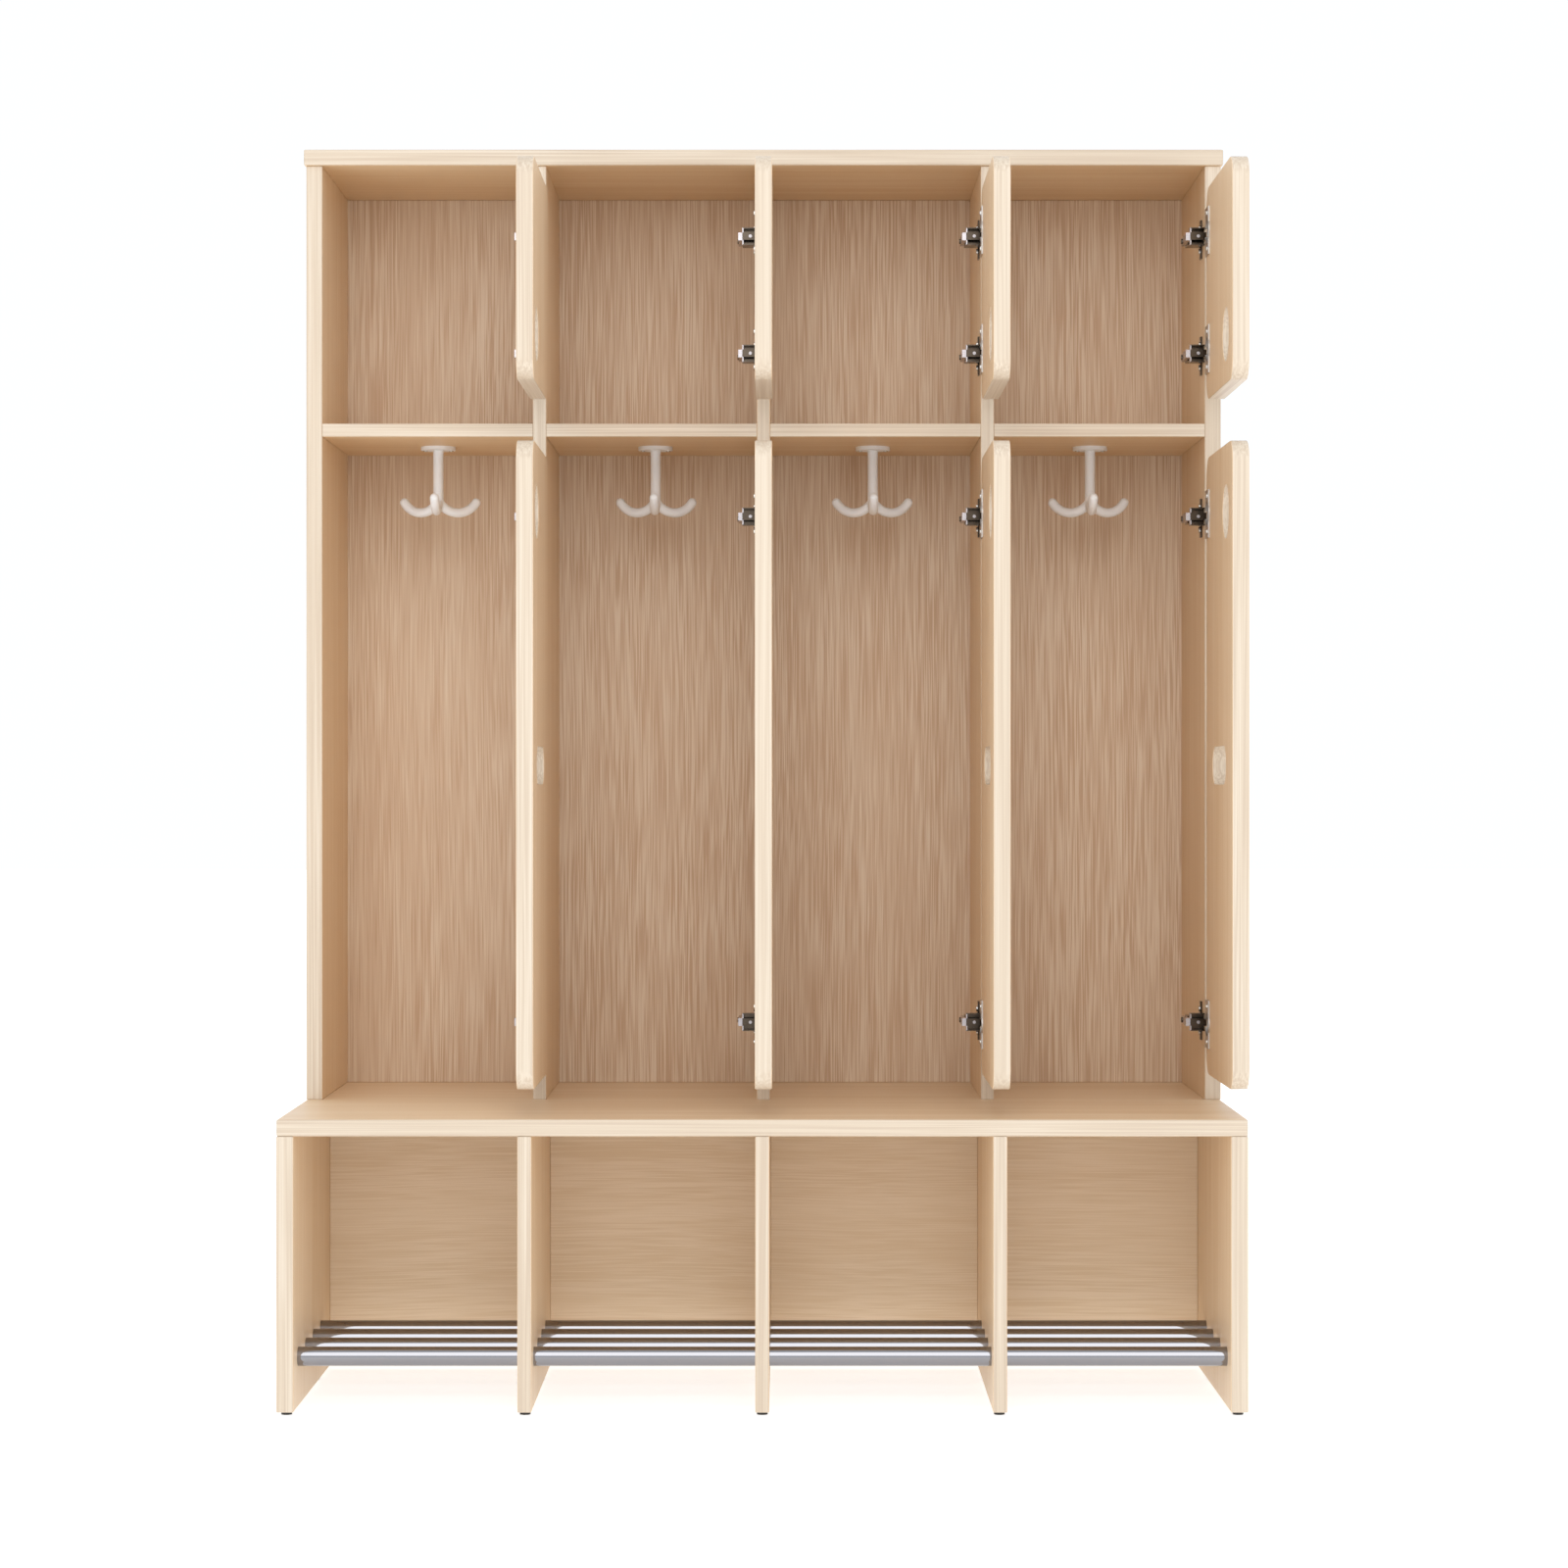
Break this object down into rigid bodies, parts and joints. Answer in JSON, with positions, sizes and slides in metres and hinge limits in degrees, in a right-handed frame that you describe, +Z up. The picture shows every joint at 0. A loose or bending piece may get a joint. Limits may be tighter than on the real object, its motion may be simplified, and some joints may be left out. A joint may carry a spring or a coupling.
{
  "type": "cloakroom bench",
  "caption": "Cloakroom bench with open-fronted shoe rack, wide seat and a row of coat lockers whose hinged upper and tall doors have finger holes, with a swivelling coat hook in each bay.",
  "frame": {"origin": "on the floor, in the middle of the width, under the front edges of the lockers' uprights, at the underside of the middle glide", "axes": "+X to the right as seen by someone facing the lockers, +Y to the back, +Z up"},
  "size_m": [1.256, 0.6165, 1.68],
  "materials": {
    "maple_board": "light wood-grain laminate with pale edge bands",
    "back_board": "darker wood-grain back board",
    "chrome": "polished chrome tube",
    "black_plastic": "matt black plastic",
    "ivory_plastic": "smooth ivory plastic",
    "nickel_steel": "nickel-plated steel",
    "screw_steel": "zinc-plated steel",
    "beech_dowel": "plain beech"
  },
  "bodies": {
    "cabinet": {"arm_screws": "screw_steel", "base_back_panel_1": "back_board", "base_back_panel_2": "back_board", "base_back_panel_3": "back_board", "base_back_panel_4": "back_board", "base_divider_1": "maple_board", "base_divider_2": "maple_board", "base_divider_3": "maple_board", "base_side_left": "maple_board", "base_side_right": "maple_board", "glide_feet": "black_plastic", "hinge_arms": "nickel_steel", "hinge_pins": "screw_steel", "hinge_plates": "nickel_steel", "hook_flanges": "ivory_plastic", "hook_screws": "screw_steel", "mid_shelf_1": "maple_board", "mid_shelf_2": "maple_board", "mid_shelf_3": "maple_board", "mid_shelf_4": "maple_board", "panel_dowels": "beech_dowel", "plate_screws": "screw_steel", "seat_board": "maple_board", "shoe_rods": "chrome", "top_panel": "maple_board", "upper_back_panel": "back_board", "upper_divider_1": "maple_board", "upper_divider_2": "maple_board", "upper_divider_3": "maple_board", "upper_side_left": "maple_board", "upper_side_right": "maple_board"},
    "upper_door_1": {"upper_door_1": "maple_board", "hinge_cups_upper_door_1": "nickel_steel", "cup_screws_upper_door_1": "screw_steel"},
    "tall_door_1": {"tall_door_1": "maple_board", "hinge_cups_tall_door_1": "nickel_steel", "cup_screws_tall_door_1": "screw_steel"},
    "coat_hook_1": {"coat_hook_1": "ivory_plastic"},
    "upper_door_2": {"upper_door_2": "maple_board", "hinge_cups_upper_door_2": "nickel_steel", "cup_screws_upper_door_2": "screw_steel"},
    "tall_door_2": {"tall_door_2": "maple_board", "hinge_cups_tall_door_2": "nickel_steel", "cup_screws_tall_door_2": "screw_steel"},
    "coat_hook_2": {"coat_hook_2": "ivory_plastic"},
    "upper_door_3": {"upper_door_3": "maple_board", "hinge_cups_upper_door_3": "nickel_steel", "cup_screws_upper_door_3": "screw_steel"},
    "tall_door_3": {"tall_door_3": "maple_board", "hinge_cups_tall_door_3": "nickel_steel", "cup_screws_tall_door_3": "screw_steel"},
    "coat_hook_3": {"coat_hook_3": "ivory_plastic"},
    "upper_door_4": {"upper_door_4": "maple_board", "hinge_cups_upper_door_4": "nickel_steel", "cup_screws_upper_door_4": "screw_steel"},
    "tall_door_4": {"tall_door_4": "maple_board", "hinge_cups_tall_door_4": "nickel_steel", "cup_screws_tall_door_4": "screw_steel"},
    "coat_hook_4": {"coat_hook_4": "ivory_plastic"}
  },
  "joints": [
    {"name": "upper_door_1_hinge", "type": "hinge", "parent": "cabinet", "child": "upper_door_1", "pos_m": [-0.2995, -0.018, 1.478], "axis": [0, 0, 1], "range_deg": [-90, 0]},
    {"name": "tall_door_1_hinge", "type": "hinge", "parent": "cabinet", "child": "tall_door_1", "pos_m": [-0.2995, -0.018, 0.838], "axis": [0, 0, 1], "range_deg": [-90, 0]},
    {"name": "coat_hook_1_swivel", "type": "hinge", "parent": "cabinet", "child": "coat_hook_1", "pos_m": [-0.459, 0.157, 1.288], "axis": [0, 0, 1], "continuous": true},
    {"name": "upper_door_2_hinge", "type": "hinge", "parent": "cabinet", "child": "upper_door_2", "pos_m": [0.0065, -0.018, 1.478], "axis": [0, 0, 1], "range_deg": [-90, 0]},
    {"name": "tall_door_2_hinge", "type": "hinge", "parent": "cabinet", "child": "tall_door_2", "pos_m": [0.0065, -0.018, 0.838], "axis": [0, 0, 1], "range_deg": [-90, 0]},
    {"name": "coat_hook_2_swivel", "type": "hinge", "parent": "cabinet", "child": "coat_hook_2", "pos_m": [-0.153, 0.157, 1.288], "axis": [0, 0, 1], "continuous": true},
    {"name": "upper_door_3_hinge", "type": "hinge", "parent": "cabinet", "child": "upper_door_3", "pos_m": [0.3125, -0.018, 1.478], "axis": [0, 0, 1], "range_deg": [-90, 0]},
    {"name": "tall_door_3_hinge", "type": "hinge", "parent": "cabinet", "child": "tall_door_3", "pos_m": [0.3125, -0.018, 0.838], "axis": [0, 0, 1], "range_deg": [-90, 0]},
    {"name": "coat_hook_3_swivel", "type": "hinge", "parent": "cabinet", "child": "coat_hook_3", "pos_m": [0.153, 0.157, 1.288], "axis": [0, 0, 1], "continuous": true},
    {"name": "upper_door_4_hinge", "type": "hinge", "parent": "cabinet", "child": "upper_door_4", "pos_m": [0.6185, -0.018, 1.478], "axis": [0, 0, 1], "range_deg": [-90, 0]},
    {"name": "tall_door_4_hinge", "type": "hinge", "parent": "cabinet", "child": "tall_door_4", "pos_m": [0.6185, -0.018, 0.838], "axis": [0, 0, 1], "range_deg": [-90, 0]},
    {"name": "coat_hook_4_swivel", "type": "hinge", "parent": "cabinet", "child": "coat_hook_4", "pos_m": [0.459, 0.157, 1.288], "axis": [0, 0, 1], "continuous": true}
  ]
}
